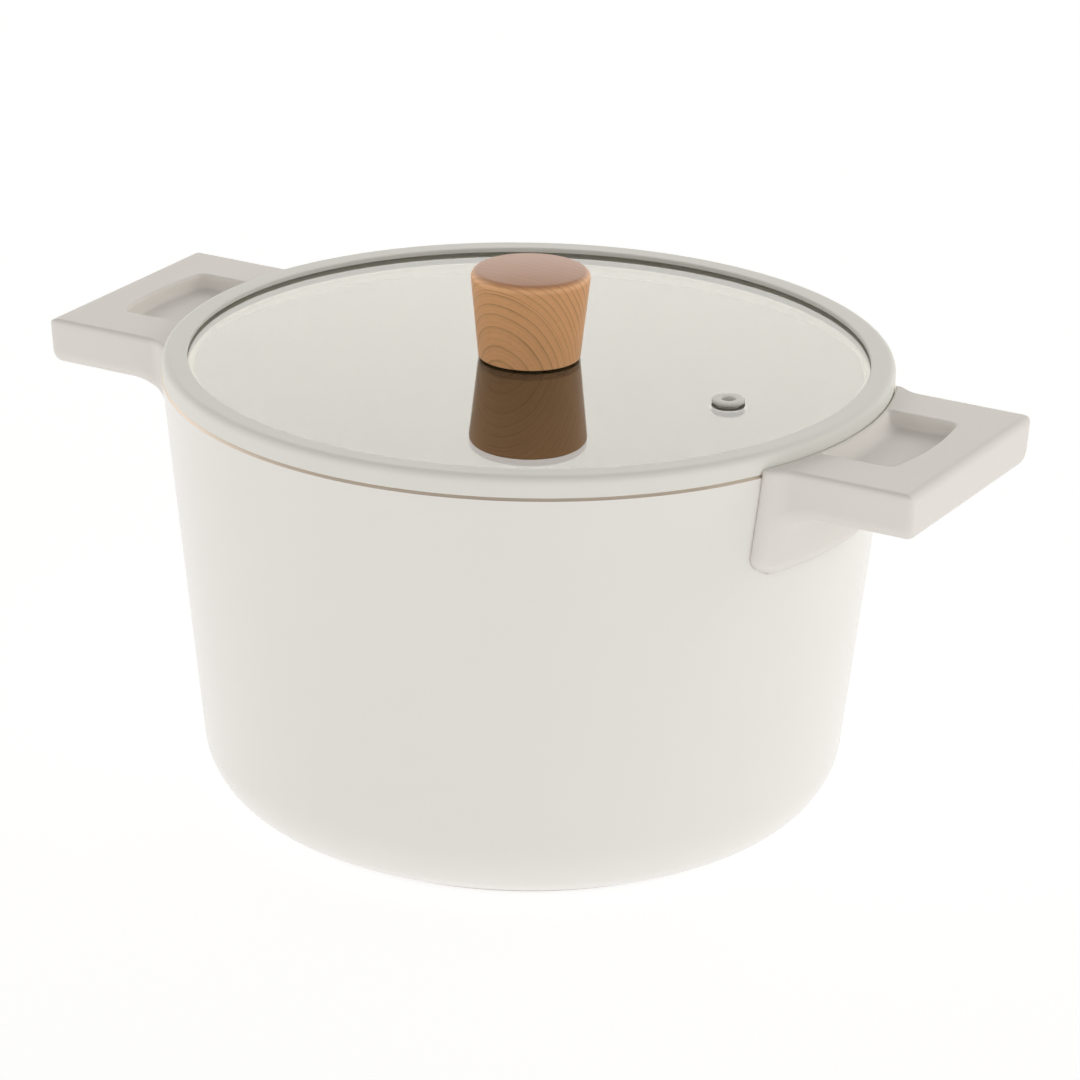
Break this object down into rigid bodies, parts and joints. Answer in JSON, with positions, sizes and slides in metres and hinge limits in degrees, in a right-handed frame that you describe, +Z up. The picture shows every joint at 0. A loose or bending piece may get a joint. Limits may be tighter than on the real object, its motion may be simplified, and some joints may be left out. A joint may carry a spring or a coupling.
{
  "type": "two-handled stock pot with glass lid",
  "caption": "Tapered round cooking pot with square side handles and a flat glass lid that has a soft rim, a steam vent and a tapered knob.",
  "frame": {"origin": "centre of the underside, on the surface the pot stands on", "axes": "+Z up along the pot axis, handles along -X and +X, +Y away from the front"},
  "size_m": [0.329, 0.2466, 0.1884],
  "materials": {
    "pot_enamel": "satin pearl coating over aluminium, bare at the rim chamfer",
    "base_steel": "turned steel disc",
    "handle_phenolic": "smooth warm grey moulding",
    "boss_aluminium": "machined",
    "screw_steel": "bright stainless",
    "lid_silicone": "matt silicone",
    "lid_glass": "polished toughened glass with a faint smoke tint",
    "vent_silicone": "matt silicone",
    "knob_wood": "satin beech tone with cathedral grain",
    "insert_brass": "turned",
    "spacer_silicone": "dark brown silicone"
  },
  "bodies": {
    "pot": {"pot_shell": "pot_enamel", "base_disc": "base_steel", "left_handle": "handle_phenolic", "right_handle": "handle_phenolic", "left_wall_bosses": "boss_aluminium", "right_wall_bosses": "boss_aluminium", "left_handle_screws": "screw_steel", "right_handle_screws": "screw_steel", "left_spring_washers": "screw_steel", "right_spring_washers": "screw_steel"},
    "lid_rim": {"lid_silicone_rim": "lid_silicone"},
    "lid": {"lid_glass": "lid_glass", "steam_vent": "vent_silicone", "knob": "knob_wood", "knob_insert": "insert_brass", "knob_spacer": "spacer_silicone", "knob_screw": "screw_steel", "knob_washer": "screw_steel", "knob_gasket": "vent_silicone"}
  },
  "joints": [
    {"name": "lid_lift", "type": "slide", "parent": "pot", "child": "lid_rim", "axis": [0, 0, 1], "range_m": [0, 0.2]},
    {"name": "lid_turn", "type": "hinge", "parent": "lid_rim", "child": "lid", "pos_m": [0, 0, 0.1568], "axis": [0, 0, 1], "continuous": true}
  ]
}
